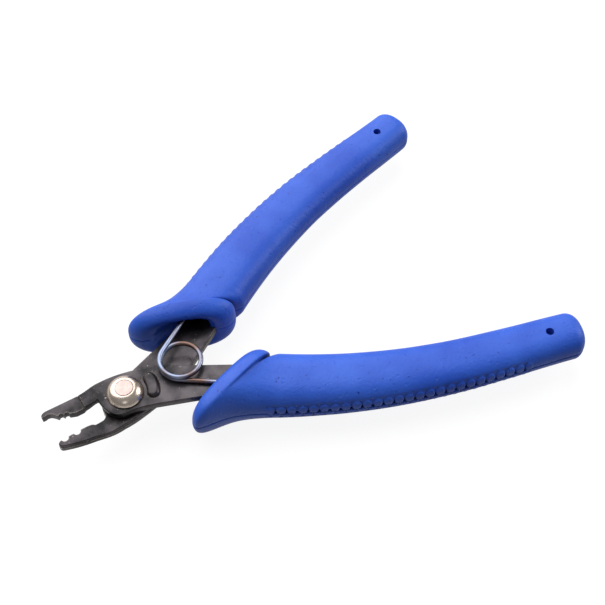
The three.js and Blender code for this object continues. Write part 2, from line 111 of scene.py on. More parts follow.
# The outline that both blades share: the underside of the hub, then the tang. A pull is a handle
# of a Bezier curve.
HUB_PULLS = [(-6.3, -2.2), (-5.2, -5.2)]
HUB_UNDERSIDE = (-1.7, -5.2)
HEEL_PULLS = [(1, -5.2), (3, -6.0)]
HEEL = (4.8, -6.5)
TANG_BEND_X = 26.5
TANG_UNDERSIDE = [(13.1, -9.5), (TANG_BEND_X, -14.6)]
TANG_END = [(60.5, -31.1), (62.2, -28.8), (61.5, -26.5)]
SHOULDER_PULL = (5, 4.9)
SHOULDER_PULL_X = 0.5

# The rest of each outline. A notch is (x, y, radius).
FRONT_JAW = {
    "ramp_end_x": -9.8,
    "crease_depth": 0.16,
    "recess": [(-6.5, 1.85), (-9.6, 2.0)],
    "bite": [
        (-10.1, 1.8), (-12.2, 1.8), (-13.6, 2.3), (-15.2, 2.8), (-16.4, 3.15),
        (-17.0, 3.95), (-17.7, 4.6), (-18.4, 4.75), (-19.1, 4.55),
    ],
    "tip": (-19.85, 4.6),
    "crown": (-18.4, 5.95),
    "bulge": [(-13, 5.9), (-8, 5.9)],
    "shoulder": (-3.5, 5.9),
    "tang_top": (10.8, 2.5),
    "tang_top_at_bend": -6.5,
    "notches": [(-14.35, 2.6, 0.5), (-15.6, 2.95, 0.5)],
}
BACK_JAW = {
    "ramp_end_x": -12,
    "crease_depth": 0,
    "recess": [(-6.5, 1.95), (-7.4, 2.65), (-9.6, 3.15)],
    "bite": [(-10.0, 2.9), (-12.6, 2.9), (-15.5, 3.05), (-18.6, 3.2)],
    "tip": (-19.25, 3.8),
    "crown": (-18.4, 5.05),
    "bulge": [(-13.5, 6.7), (-8.5, 7.15)],
    "shoulder": (-3.5, 6.5),
    "tang_top": (10.8, 4.0),
    "tang_top_at_bend": -5.7,
    "notches": [(-14.15, 2.95, 0.85), (-17.3, 3.1, 0.85)],
}

# Stop bulge, a pill that curves about the pivot, with a shallow moat pressed round it
STOP_PITCH_RADIUS = 6.8
STOP_DEGREES = (-29, 6)
STOP_RADIUS = 1.5
STOP_HEIGHT = 0.85
STOP_CROWN_POWER = 0.8
STOP_FOOT = 0.05
STOP_ROOT = 0.08
MOAT_RADIUS = 1.78
MOAT_DEPTH = 0.16
MOAT_SLOPE = 0.3
CUTTER_CLEARANCE = 0.05

# Spring. The high leg runs into the back grip and the low leg into the front one.
WIRE_RADIUS = 0.6
COIL_RADIUS = 5.0
COIL_CENTRE = (15.2, 0.45)
COIL_FROM = math.radians(126)
COIL_TO = math.radians(595)
LOW_LEG_Z = 3.1
HIGH_LEG_Z = 4.6
HIGH_LEG_END_Z = 2.6
LOW_LEG_LENGTH = 15.5
HIGH_LEG_LENGTH = 15.0

# Grips, both drawn with the handle on the -Y side. Width and height are the terms of a quadratic
# in the share of the handle's length.
GRIP_START = np.array([33.6, -15.9])
GRIP_END = np.array([105.7, -41.3])
GRIP_START_DEG = -30.7
GRIP_END_DEG = -15.7
GRIP_START_PULL = 1.37
GRIP_END_PULL = 0.87
GRIP_WIDTH = (15.7, -5.4, 1.05)
GRIP_HEIGHT = (11.9, -8.05, 6.4)
GRIP_MID_Z = -0.4
GRIP_POWER = 2.5
GRIP_END_ROUNDING = 3.6
GRIP_END_FLATNESS = 0.75
LOCATING_HOLE_RADIUS = 1.05
LOCATING_HOLE_AT = 0.865
LOCATING_HOLE_REACH = 12

# Flanges. Each runs across its grip at an angle, reaching this far inwards and outwards.
FRONT_FLANGE = {
    "centre": np.array([22.8, -12.32]),
    "degrees": 19,
    "inner": 13.2,
    "outer": 13.0,
    "half_height": 8.4,
}
BACK_FLANGE = {
    "centre": np.array([21.6, -12.87]),
    "degrees": 19.2,
    "inner": 13.8,
    "outer": 14.0,
    "half_height": 8.0,
}

# Lips and mouths. Groups of three are inwards, outwards and up.
LEAN = math.tan(math.radians(6))
FLANGE_FRONT_DEPTH = 3.8
FLANGE_BACK_DEPTH = 0.4
FLANGE_POWERS = (2.9, 2.5)
LIP_STEPS = (1.9, 0.15, 0.95)
PLAIN_LIP_STEPS = (1.9, 0.1, 0.0)
FLARE_DEG = 17
FLARE_PULLS = (0.6, 0.9)
MOUTH = (6.9, 7.0, 4.5)
MOUTH_DEPTH = 9.0
MOUTH_TAPER = (0.7, 2.2, 0.4)
MOUTH_CURL = math.radians(130)

# Cosines round a section between which the plain lip gives way to the stepped one
LIP_BLEND = (-0.6, 0.3)

# Softening of the lip's back: strongest past the second cosine, least before the first
LIP_RELAX_ROUNDS = 150
LIP_RELAX_ROWS = 10.0
LIP_RELAX_LEAST = 0.08
LIP_RELAX_FADE = (0.1, -0.8)
TANGENT_STEP = 0.001

# Rows of points up a grip from its parting line, as shares of its half height
PARTING_ROWS = [0, 0.012, 0.026, 0.042, 0.062, 0.088]
SCALLOP_ROWS = np.arange(0.12, 0.48, 0.035)
FACE_ROWS = 20

# Detail moulded into the grips. Heights are from the parting line.
SCALLOP_PITCH = 2.6
SCALLOP_FROM_X = 26.5
SCALLOP_TO_X = 89.0
SCALLOP_HALF_WIDTH = 1.2
SCALLOP_TOP = 2.7
LOWER_SCALLOP_TOP = 1.9
SCALLOP_HEIGHT = 0.46
SCALLOP_PROUD = 0.16
SCALLOP_SQUARENESS = 2.4
SCALLOP_STEEPNESS = 2.0
SCALLOP_FULLNESS = 0.6
SCALLOP_FADE = (0.2, -0.3)
VALLEY_DEPTH = 0.4
VALLEY_HALF_WIDTH = 0.3
VALLEY_AT_HEIGHT = 0.5
VALLEY_HALF_HEIGHT = 0.4
PARTING_DEPTH = 0.26
PARTING_WIDTH = 0.19
PARTING_FROM_ROW = 6
WAVINESS = 0.05
WAVE_SIZE = 9.0
FLASH_HEIGHT = 0.5
FLASH_SIZE = 1.0
FLASH_ROWS = 2.0
FLASH_SEED = 5
END_FADE_ROWS = 8
FRONT_GRIP_SEED = 3.0
BACK_GRIP_SEED = 11.0

# Camera, its target given in millimetres in the row frame
CAMERA_TARGET = (50.74, 2.23, LAP_Z)
CAMERA_DISTANCE = 283.62
CAMERA_ELEVATION = math.radians(55.14)
CAMERA_AZIMUTH = math.radians(-30.82)
CAMERA_LENS = 66.07

# Lights: name, place in metres, diameter and power
LIGHT_TARGET = (0.04, 0, 0)
LIGHTS = [
    ("overhead", (0.0, 0.48, 0.54), 1.3, 10.8),
    ("right", (0.6, -0.1, 0.3), 0.4, 1.6),
    ("shoulder", (-0.24, -0.42, 0.36), 0.2, 0.12),
]


# ---- Meshes ----

def make_object(name, mesh):
    obj = bpy.data.objects.new(name, mesh)
    bpy.context.scene.collection.objects.link(obj)
    return obj


def shade(mesh, sharp_degrees=180):
    """Smooth faces, with edges sharper than the angle kept crisp."""
    bm = bmesh.new()
    bm.from_mesh(mesh)
    limit = math.radians(sharp_degrees)
    for face in bm.faces:
        face.smooth = True
    for edge in bm.edges:
        edge.smooth = len(edge.link_faces) == 2 and edge.calc_face_angle(0) < limit
    bm.to_mesh(mesh)
    bm.free()


def to_row(points):
    """Millimetres from the lap to metres in the row frame."""
    return (np.asarray(points, float) + (0, 0, LAP_Z)) * MM


def loft(name, rings, closed=False):
    """A closed skin through rings of points, capped at both ends or joined end to end."""
    count, around = rings.shape[:2]
    index = np.arange(count * around).reshape(count, around)
    if closed:
        index = np.vstack([index, index[:1]])
    a = index[:-1]
    b = index[1:]
    quads = np.stack([a, np.roll(a, -1, 1), np.roll(b, -1, 1), b], -1).reshape(-1, 4)
    faces = quads.tolist()
    if not closed:
        faces.append(index[0][::-1].tolist())
        faces.append(index[-1].tolist())
    mesh = bpy.data.meshes.new(name)
    mesh.from_pydata(to_row(rings.reshape(-1, 3)).tolist(), [], faces)
    bm = bmesh.new()
    bm.from_mesh(mesh)
    bmesh.ops.recalc_face_normals(bm, faces=bm.faces)
    bm.to_mesh(mesh)
    bm.free()
    return make_object(name, mesh)


def apply_modifiers(obj):
    graph = bpy.context.evaluated_depsgraph_get()
    mesh = bpy.data.meshes.new_from_object(obj.evaluated_get(graph))
    obj.modifiers.clear()
    obj.data = mesh


def combine(obj, other, operation):
    """Cuts other out of obj, or joins it on, and removes other."""
    modifier = obj.modifiers.new(operation.lower(), "BOOLEAN")
    modifier.operation = operation
    modifier.solver = "EXACT"
    modifier.object = other
    apply_modifiers(obj)
    bpy.data.objects.remove(other)


def round_rings(profile, segments=128, centre=(0, 0)):
    """Rings about Z from (radius, height) pairs."""
    angle = np.linspace(0, 2 * math.pi, segments, endpoint=False)
    rings = []
    for radius, height in profile:
        x = centre[0] + radius * np.cos(angle)
        y = centre[1] + radius * np.sin(angle)
        rings.append(np.stack([x, y, np.full(segments, height)], -1))
    return np.array(rings)


# ---- Curves ----

def smooth(t):
    return t * t * (3 - 2 * t)


def ease(value, low, high):
    """0 up to low and 1 past high, smooth between; low may be the greater of the two."""
    return smooth(np.clip((value - low) / (high - low), 0, 1))


def bell(distance):
    return np.exp(-distance ** 2)


def bezier(start, first, second, end, steps=40):
    t = np.linspace(0, 1, steps + 1)[:, None]
    start, first, second, end = (np.array(p, float) for p in (start, first, second, end))
    near = (1 - t) ** 3 * start + 3 * (1 - t) ** 2 * t * first
    return near + 3 * (1 - t) * t ** 2 * second + t ** 3 * end


def resample(points, step):
    """Evenly spaced points round a closed outline."""
    ring = np.vstack([points, points[:1]])
    run = np.concatenate([[0], np.cumsum(np.linalg.norm(np.diff(ring, axis=0), axis=1))])
    at = np.linspace(0, run[-1], int(run[-1] / step), endpoint=False)
    return np.stack([np.interp(at, run, ring[:, k]) for k in (0, 1)], -1)


def soften(points, rounds):
    for _ in range(rounds):
        points = (np.roll(points, 1, 0) + 2 * points + np.roll(points, -1, 0)) / 4
    return points


def inset(points, distance):
    """The outline moved in by a distance, for an outline that runs anticlockwise."""
    along = np.roll(points, -1, 0) - np.roll(points, 1, 0)
    along /= np.linalg.norm(along, axis=1)[:, None]
    return points + distance * np.stack([-along[:, 1], along[:, 0]], -1)


# ---- Blades ----

def bite_line(jaw):
    """The bite from its root to the tip, with the crimping notches let into it."""
    bite = np.array(jaw["bite"])[::-1]
    x = np.arange(bite[0, 0], bite[-1, 0], OUTLINE_STEP / 3)
    y = np.interp(x, bite[:, 0], bite[:, 1])
    for centre_x, centre_y, radius in jaw["notches"]:
        inside = np.clip(radius ** 2 - (x - centre_x) ** 2, 0, None)
        y = np.where(inside > 0, np.maximum(y, centre_y + np.sqrt(inside)), y)
    return np.stack([x, y], -1)


def plate_outline(jaw):
    """Anticlockwise from the front of the hub, under the tang and back over the jaw."""
    hub = bezier(jaw["recess"][0], *HUB_PULLS, HUB_UNDERSIDE)
    underside = bezier(HUB_UNDERSIDE, *HEEL_PULLS, HEEL)
    tang_top = [(TANG_BEND_X, jaw["tang_top_at_bend"]), jaw["tang_top"]]
    tang = np.array([*TANG_UNDERSIDE, *TANG_END, *tang_top])
    level_pull = (SHOULDER_PULL_X, jaw["shoulder"][1])
    shoulder = bezier(jaw["tang_top"], SHOULDER_PULL, level_pull, jaw["shoulder"])
    front, rear = jaw["bulge"]
    crown = bezier(jaw["shoulder"], rear, front, jaw["crown"])
    tip_x, tip_y = jaw["tip"]
    crown_y = jaw["crown"][1]
    nose_pulls = [(tip_x + 0.3, crown_y - 0.1), (tip_x - 0.1, tip_y + 0.7)]
    nose = bezier(jaw["crown"], *nose_pulls, jaw["tip"])
    recess = np.array(jaw["recess"][:0:-1])
    parts = [hub, underside, tang, shoulder, crown, nose, bite_line(jaw), recess]
    return soften(resample(np.vstack(parts), OUTLINE_STEP), rounds=2)


def jaw_drop(jaw, x, on_face):
    """How far the plate is stepped down at x, on its outer face or its lapped one."""
    end = jaw["ramp_end_x"]
    start = FACE_RAMP_START_X if on_face else LAP_RAMP_START_X
    drop = JAW_STEP * ease(x, start, end)
    if on_face:
        drop += jaw["crease_depth"] * np.clip((end - x) / CREASE_WIDTH, 0, 1)
        drop += jaw["crease_depth"] * bell((end - CREASE_WIDTH - x) / SCORE_WIDTH)
    return float(drop)


def edge_steps():
    """Rounded edges and the ledge that shearing left half way up: (move in, height) pairs."""
    steps = []
    for degrees in EDGE_SLOPES:
        angle = math.radians(degrees)
        rise = EDGE_ROUNDING * (1 - math.sin(angle))
        steps.append((EDGE_ROUNDING * (1 - math.cos(angle)), RUNNING_GAP + rise))
    middle = RUNNING_GAP + PLATE_THICKNESS / 2
    lower = [(inward + SHEAR_LEDGE, height) for inward, height in steps]
    upper = [(inward, 2 * middle - height) for inward, height in reversed(steps)]
    foot, top = (middle + rise for rise in SHEAR_LEDGE_RISES)
    ledge = [(SHEAR_LEDGE, foot), (0.0, top)]
    return [*lower, *ledge, *upper]


def plate(name, jaw):
    """The plate with rounded edges, drawn with its lapped face down.

    Its edges are finer at the teeth and at the tang's end, where the outline turns sharply.
    """
    outline = plate_outline(jaw)
    bite = np.array(jaw["bite"])[::-1]
    above_bite = outline[:, 1] - np.interp(outline[:, 0], bite[:, 0], bite[:, 1])
    fine = (outline[:, 0] < bite[-1, 0]) & (above_bite < TOOTH_HEIGHT)
    fine |= outline[:, 0] > TANG_NARROW_X
    share = soften(np.where(fine, FINE_EDGE_SHARE, 1.0), rounds=8)[:, None]
    rings = []
    for inward, height in edge_steps():
        level = np.full((len(outline), 1), height)
        rings.append(np.hstack([inset(outline, inward * share), level]))
    obj = loft(name, np.array(rings))
    bm = bmesh.new()
    bm.from_mesh(obj.data)
    bmesh.ops.triangulate(bm, faces=[f for f in bm.faces if len(f.verts) > 4])
    end = jaw["ramp_end_x"]
    crease = end - CREASE_WIDTH + SCORE_WIDTH * np.linspace(-2, 2, SCORE_CUTS)
    for x in [*np.linspace(FACE_RAMP_START_X, end, RAMP_CUTS), *crease]:
        parts = bm.verts[:] + bm.edges[:] + bm.faces[:]
        bmesh.ops.bisect_plane(bm, geom=parts, plane_co=(x * MM, 0, 0), plane_no=(1, 0, 0))
    for vertex in bm.verts:
        x = vertex.co.x / MM
        share = min(1, max(0, (vertex.co.z / MM - LAP_Z - RUNNING_GAP) / PLATE_THICKNESS))
        drop = jaw_drop(jaw, x, True) * share + jaw_drop(jaw, x, False) * (1 - share)
        vertex.co.z -= drop * MM
    bm.to_mesh(obj.data)
    bm.free()
    cutter = [(HOLE_RADIUS, height) for height in HOLE_CUTTER_HEIGHTS]
    combine(obj, loft("hole", round_rings(cutter, 64)), "DIFFERENCE")
    return obj


def arc(centre, radius, start, end, steps, trim=0):
    """Points along an arc, less this many at each of its ends."""
    points = []
    for i in range(trim, steps + 1 - trim):
        angle = start + (end - start) * i / steps
        x = centre[0] + radius * math.cos(angle)
        points.append((x, centre[1] + radius * math.sin(angle)))
    return points


def stop_ring(radius, height, steps=14):
    """A ring round a pill of this radius that curves about the pivot."""
    start, end = (math.radians(degrees) for degrees in STOP_DEGREES)
    first = (STOP_PITCH_RADIUS * math.cos(start), STOP_PITCH_RADIUS * math.sin(start))
    last = (STOP_PITCH_RADIUS * math.cos(end), STOP_PITCH_RADIUS * math.sin(end))
    points = arc((0, 0), STOP_PITCH_RADIUS + radius, start, end, steps)
    points += arc(last, radius, end, end + math.pi, steps, trim=1)
    points += arc((0, 0), STOP_PITCH_RADIUS - radius, end, start, steps)
    points += arc(first, radius, start + math.pi, start + 2 * math.pi, steps, trim=1)
    return np.array([(x, y, height) for x, y in points])


def front_blade():
    obj = plate("front_blade_steel", FRONT_JAW)
    moat = [
        stop_ring(MOAT_RADIUS - MOAT_SLOPE, PLATE_TOP - MOAT_DEPTH),
        stop_ring(MOAT_RADIUS, PLATE_TOP + CUTTER_CLEARANCE),
        stop_ring(MOAT_RADIUS, PLATE_TOP + 1),
    ]
    combine(obj, loft("moat", np.array(moat)), "DIFFERENCE")
    rings = [
        stop_ring(STOP_RADIUS + STOP_ROOT, PLATE_TOP - 1),
        stop_ring(STOP_RADIUS + STOP_FOOT, PLATE_TOP),
    ]
    for degrees in range(10, 91, 10):
        angle = math.radians(degrees)
        radius = max(0.02, STOP_RADIUS * math.cos(angle) ** STOP_CROWN_POWER)
        rings.append(stop_ring(radius, PLATE_TOP + STOP_HEIGHT * math.sin(angle)))
    combine(obj, loft("bulge", np.array(rings)), "UNION")
    return obj


def back_blade():
    """A plate drawn like the front one, turned over about the X axis."""
    obj = plate("back_blade_steel", BACK_JAW)
    for vertex in obj.data.vertices:
        vertex.co.y *= -1
        vertex.co.z = 2 * LAP_Z * MM - vertex.co.z
    return obj


# ---- Rivet ----

def corner(radius, height, steps):
    """Points of a profile near its sharp corner at this radius and height."""
    return [(radius + outwards, height + up) for outwards, up in steps]


def dome(rim_radius, top_radius, rim_z, top_z, steps=16):
    """A quarter round from the rim to the edge of the flat top."""
    points = []
    for i in range(steps + 1):
        angle = (math.pi / 2) * i / steps
        radius = top_radius + (rim_radius - top_radius) * math.cos(angle)
        points.append((radius, rim_z + (top_z - rim_z) * math.sin(angle)))
    return points


def crown(rim_z, top_z, steps=24):
    """A round arc from the collar's rim up to its flat top."""
    steep, shallow = (math.radians(degrees) for degrees in COLLAR_SLOPES)
    points = []
    for i in range(steps + 1):
        angle = steep + (shallow - steep) * i / steps
        across = (math.sin(angle) - math.sin(shallow)) / (math.sin(steep) - math.sin(shallow))
        down = (math.cos(shallow) - math.cos(angle)) / (math.cos(shallow) - math.cos(steep))
        radius = COLLAR_TOP_RADIUS + (COLLAR_RADIUS - COLLAR_TOP_RADIUS) * across
        points.append((radius, top_z - (top_z - rim_z) * down))
    return points


def collar():
    seat = PLATE_TOP
    top = seat + COLLAR_HEIGHT
    profile = corner(SHANK_RADIUS, seat, COLLAR_BORE_FOOT)
    profile += corner(COLLAR_RADIUS, seat, COLLAR_FOOT)
    profile += crown(seat + COLLAR_RIM, top)
    profile += corner(SHANK_RADIUS, top, COLLAR_BORE_RIM)
    return loft("rivet_collar_dome", round_rings(profile), closed=True)


def rivet():
    """From the flat of the rear head, round its rim and up the shank."""
    base = -LAP_Z
    head_top = base + REAR_HEAD_HEIGHT
    shank_top = PLATE_TOP + COLLAR_HEIGHT
    rear_dome = dome(REAR_HEAD_RADIUS, REAR_FACE_RADIUS, head_top - REAR_RIM, base)
    profile = [(AXIS_RADIUS, base), *reversed(rear_dome)]
    profile += corner(REAR_HEAD_RADIUS, head_top, REAR_HEAD_RIM)
    profile += [(SHANK_RADIUS, head_top)]
    profile += corner(SHANK_RADIUS, shank_top, SHANK_END)
    profile += [(AXIS_RADIUS, profile[-1][1])]
    return loft("pivot_rivet_steel", round_rings(profile))


# ---- Spring ----

def spring_point(along):
    """The middle of the wire at this run from the high leg's end."""
    coil_length = COIL_RADIUS * (COIL_TO - COIL_FROM)
    on_coil = np.clip((along - HIGH_LEG_LENGTH) / coil_length, 0, 1)
    angle = COIL_FROM + (COIL_TO - COIL_FROM) * on_coil
    before = np.maximum(0, HIGH_LEG_LENGTH - along)
    after = np.maximum(0, along - HIGH_LEG_LENGTH - coil_length)
    straight = after - before
    x = COIL_CENTRE[0] + COIL_RADIUS * np.cos(angle) - straight * np.sin(angle)
    y = COIL_CENTRE[1] + COIL_RADIUS * np.sin(angle) + straight * np.cos(angle)
    leg_drop = (HIGH_LEG_Z - HIGH_LEG_END_Z) * (before / HIGH_LEG_LENGTH)
    z = HIGH_LEG_Z + (LOW_LEG_Z - HIGH_LEG_Z) * on_coil - leg_drop
    return np.stack([x, y, z], -1)


def spring(steps=420, around=20, bend_rounds=6):
    total = HIGH_LEG_LENGTH + LOW_LEG_LENGTH + COIL_RADIUS * (COIL_TO - COIL_FROM)
    along = np.linspace(0, total, steps)
    centre = spring_point(along)
    for _ in range(bend_rounds):
        centre[1:-1] = (centre[:-2] + 2 * centre[1:-1] + centre[2:]) / 4
    tangent = np.gradient(centre, axis=0)
    tangent /= np.linalg.norm(tangent, axis=1)[:, None]
    level = np.stack([-tangent[:, 1], tangent[:, 0], np.zeros(steps)], -1)
    level /= np.linalg.norm(level, axis=1)[:, None]
    upward = np.cross(tangent, level)
    angle = np.linspace(0, 2 * math.pi, around, endpoint=False)[None, :, None]
    outwards = np.cos(angle) * level[:, None] + np.sin(angle) * upward[:, None]
    return loft("return_spring_wire", centre[:, None] + WIRE_RADIUS * outwards)


# ---- Grips ----

def direction(degrees):
    angle = math.radians(degrees)
    return np.array([math.cos(angle), math.sin(angle)])


def left_of(vector):
    return np.stack([-vector[..., 1], vector[..., 0]], -1)


def quadratic(terms, t):
    return terms[0] + terms[1] * t + terms[2] * t * t


def hermite(start, end, start_tangent, end_tangent, t):
    t = np.asarray(t, float)[..., None]
    t2 = t * t
    t3 = t2 * t
    near = (2 * t3 - 3 * t2 + 1) * start + (t3 - 2 * t2 + t) * start_tangent
    return near + (3 * t2 - 2 * t3) * end + (t3 - t2) * end_tangent


handle_start = direction(GRIP_START_DEG)
grip_length = float(np.linalg.norm(GRIP_END - GRIP_START))

# A section through a grip, rounded by a power on its inner side and on its outer one. Lean is how
# far it moves for each millimetre up.
SECTION_FIELDS = "x y across_x across_y inner outer half inner_power outer_power lean_x lean_y"
Section = namedtuple("Section", SECTION_FIELDS)


def section(centre, across, inner, outer, half, powers, lean):
    return Section(*centre, *across, inner, outer, half, *powers, *lean)


def lip_section(flange, offset, shrink):
    across = direction(flange["degrees"])
    forward = left_of(across)
    centre = flange["centre"] + forward * offset
    inner = flange["inner"] - shrink[0]
    outer = flange["outer"] - shrink[1]
    half = flange["half_height"] - shrink[2]
    return section(centre, across, inner, outer, half, FLANGE_POWERS, -LEAN * forward)


def flange_margins(flange):
    """How far the mouth lies inside the flange: inwards, outwards and up."""
    sizes = (flange["inner"], flange["outer"], flange["half_height"])
    return [size - mouth for size, mouth in zip(sizes, MOUTH)]


def mouth_sections(flange, steps=14):
    """From the floor of the hollow out to the edge of the mouth."""
    edge = FLANGE_FRONT_DEPTH * math.sin(MOUTH_CURL)
    margins = flange_margins(flange)
    sections = []
    for i in range(steps):
        depth = 1 - i / steps
        shrink = [margin + taper * depth for margin, taper in zip(margins, MOUTH_TAPER)]
        here = lip_section(flange, edge, shrink)
        x, y = np.array([here.x, here.y]) + handle_start * MOUTH_DEPTH * depth
        sections.append(here._replace(x=x, y=y))
    return sections


def lip_sections(flange, lip_steps, front_steps=26, back_steps=10):
    """From the edge of the mouth, round the lip's front and down its back."""
    full = 1 - math.cos(MOUTH_CURL)
    margins = flange_margins(flange)
    sections = []
    for i in range(front_steps):
        angle = MOUTH_CURL * (1 - i / front_steps)
        share = (1 - math.cos(angle)) / full
        shrink = [margin * share for margin in margins]
        sections.append(lip_section(flange, FLANGE_FRONT_DEPTH * math.sin(angle), shrink))
    for i in range(back_steps + 1):
        angle = (math.pi / 2) * i / back_steps
        shrink = [step * (1 - math.cos(angle)) for step in lip_steps]
        sections.append(lip_section(flange, -FLANGE_BACK_DEPTH * math.sin(angle), shrink))
    return sections


def flare_sections(last, steps=40):
    """Sections that fan out from the lip to the handle."""
    centre = np.array([last.x, last.y])
    across = np.array([last.across_x, last.across_y])
    inner_from = centre + across * last.inner
    outer_from = centre - across * last.outer
    half_width = quadratic(GRIP_WIDTH, 0) / 2
    inward = left_of(handle_start)
    inner_to = GRIP_START + inward * half_width
    outer_to = GRIP_START - inward * half_width
    inner_run = np.linalg.norm(inner_to - inner_from)
    outer_run = np.linalg.norm(outer_to - outer_from)
    inner_in = handle_start * inner_run * FLARE_PULLS[0]
    outer_in = direction(FLARE_DEG) * outer_run * FLARE_PULLS[1]
    sections = []
    for i in range(1, steps):
        t = i / steps
        share = smooth(t)
        inner = hermite(inner_from, inner_to, inner_in, handle_start * inner_run, t)
        outer = hermite(outer_from, outer_to, outer_in, handle_start * outer_run, t)
        middle = (inner + outer) / 2
        width = np.linalg.norm(inner - outer)
        across = (inner - outer) / width
        half = last.half * (1 - share) + quadratic(GRIP_HEIGHT, 0) / 2 * share
        powers = [power * (1 - share) + GRIP_POWER * share for power in FLANGE_POWERS]
        lean = np.array([last.lean_x, last.lean_y]) * (1 - t)
        sections.append(section(middle, across, width / 2, width / 2, half, powers, lean))
    return sections


def handle_point(t):
    """The middle of the handle, from 0 at its flange to 1 at its end."""
    start_tangent = handle_start * grip_length * GRIP_START_PULL
    end_tangent = direction(GRIP_END_DEG) * grip_length * GRIP_END_PULL
    return hermite(GRIP_START, GRIP_END, start_tangent, end_tangent, t)


def handle_sections(steps=250, tip_steps=18):
    """Along the handle, then round its end."""
    round_from = 1 - GRIP_END_ROUNDING / grip_length
    spans = [(round_from * i / steps, 0.0) for i in range(steps)]
    for i in range(tip_steps + 1):
        angle = (math.pi / 2) * i / tip_steps
        t = round_from + (1 - round_from) * math.sin(angle)
        spans.append((t, GRIP_END_ROUNDING * (1 - math.cos(angle))))
    powers = (GRIP_POWER, GRIP_POWER)
    sections = []
    for t, rounding in spans:
        along = handle_point(t + TANGENT_STEP) - handle_point(t - TANGENT_STEP)
        along /= np.linalg.norm(along)
        reach = quadratic(GRIP_WIDTH, t) / 2 - rounding
        half = quadratic(GRIP_HEIGHT, t) / 2 - GRIP_END_FLATNESS * rounding
        sections.append(section(handle_point(t), left_of(along), reach, reach, half, powers, (0, 0)))
    return sections


def around_angles():
    """Angles round a section, packed close where the two halves of the mould met."""
    heights = np.concatenate([PARTING_ROWS, SCALLOP_ROWS])
    near = np.arcsin(heights ** (GRIP_POWER / 2))
    far = np.linspace(near[-1], math.pi / 2, FACE_ROWS)[1:]
    quarter = np.concatenate([near, far])
    half = np.concatenate([quarter, math.pi - quarter[-2::-1]])
    return np.concatenate([half, half[1:-1] + math.pi])


def skin(sections, angles):
    """Points of every section, as an array of sections, angles and axes."""
    columns = Section(*np.array(sections, float).T[..., None])
    cosine = np.cos(angles)
    sine = np.sin(angles)
    inner_side = cosine > 0
    reach = np.where(inner_side, columns.inner, columns.outer)
    power = np.where(inner_side, columns.inner_power, columns.outer_power)
    sideways = np.sign(cosine) * np.abs(cosine) ** (2 / power) * reach
    up = np.sign(sine) * np.abs(sine) ** (2 / power) * columns.half
    x = columns.x + columns.across_x * sideways + columns.lean_x * up
    y = columns.y + columns.across_y * sideways + columns.lean_y * up
    return np.stack([x, y, GRIP_MID_Z + up], -1)


def outward(points):
    """Unit normals of a skin of points."""
    along = np.gradient(points, axis=0)
    around = np.roll(points, -1, 1) - np.roll(points, 1, 1)
    normal = np.cross(around, along)
    return normal / np.maximum(np.linalg.norm(normal, axis=-1), 1e-9)[..., None]


def scallops(points, angles, first_handle):
    """Ridges along the outer edge of the handle, with valleys between them.

    The ridges below the parting line stand opposite the valleys above it.
    """
    edge = points[:, np.argmin(np.abs(angles - math.pi))]
    run = np.concatenate([[0], np.cumsum(np.linalg.norm(np.diff(edge[:, :2], axis=0), axis=1))])
    on_handle = np.arange(len(points)) > first_handle
    start = np.interp(SCALLOP_FROM_X, edge[on_handle, 0], run[on_handle])
    stop = np.interp(SCALLOP_TO_X, edge[on_handle, 0], run[on_handle])
    height = np.abs(points[..., 2] - GRIP_MID_Z)
    upper = points[..., 2] > GRIP_MID_Z
    top = np.where(upper, SCALLOP_TOP, LOWER_SCALLOP_TOP)
    count = ((run - start) / SCALLOP_PITCH)[:, None] + np.where(upper, 0.0, 0.5)
    beside = np.abs(count - np.floor(count) - 0.5) * SCALLOP_PITCH
    above = np.abs(height - top / 3) / (top * 2 / 3)
    crest = 1 - (beside / SCALLOP_HALF_WIDTH) ** 2 - above ** SCALLOP_SQUARENESS
    ridge = SCALLOP_HEIGHT * np.clip(crest * SCALLOP_STEEPNESS, 0, 1) ** SCALLOP_FULLNESS
    band = ease(height, top + SCALLOP_FADE[0], top + SCALLOP_FADE[1])
    detail = (ridge - SCALLOP_HEIGHT + SCALLOP_PROUD) * band
    valley = bell((beside - SCALLOP_PITCH / 2) / VALLEY_HALF_WIDTH)
    valley *= bell((height - VALLEY_AT_HEIGHT) / VALLEY_HALF_HEIGHT)
    in_row = ((run > start) & (run < stop))[:, None] & (np.cos(angles) < 0)[None, :]
    return np.where(in_row, detail - VALLEY_DEPTH * valley, 0)


def parting_line(points, angles, first_lip):
    """The groove where the two halves of the mould met, deeper on the outer side."""
    height = points[..., 2] - GRIP_MID_Z
    depth = np.where(np.cos(angles) < 0, PARTING_DEPTH, PARTING_DEPTH / 2)
    on_lip = (np.arange(len(points)) >= first_lip + PARTING_FROM_ROW)[:, None]
    return np.where(on_lip, depth * bell(height / PARTING_WIDTH), 0)


def unevenness(points, size, seed):
    """Smooth noise over the skin, between about -1 and 1."""
    flat = points.reshape(-1, 3) / size + seed
    values = np.array([noise.noise(Vector(p)) for p in flat])
    return values.reshape(points.shape[:2])


def relax(points, angles, last_lip):
    """Softens the back of the lip, most on its outer lobe and little at its inner end."""
    row = np.arange(len(points))
    near = bell((row - last_lip - 1) / LIP_RELAX_ROWS)
    outer = LIP_RELAX_LEAST + (1 - LIP_RELAX_LEAST) * ease(np.cos(angles), *LIP_RELAX_FADE)
    weight = (near[:, None] * outer)[1:-1, :, None]
    points = points.copy()
    for _ in range(LIP_RELAX_ROUNDS):
        points[1:-1] += weight * ((points[:-2] + points[2:]) / 2 - points[1:-1])
    return points


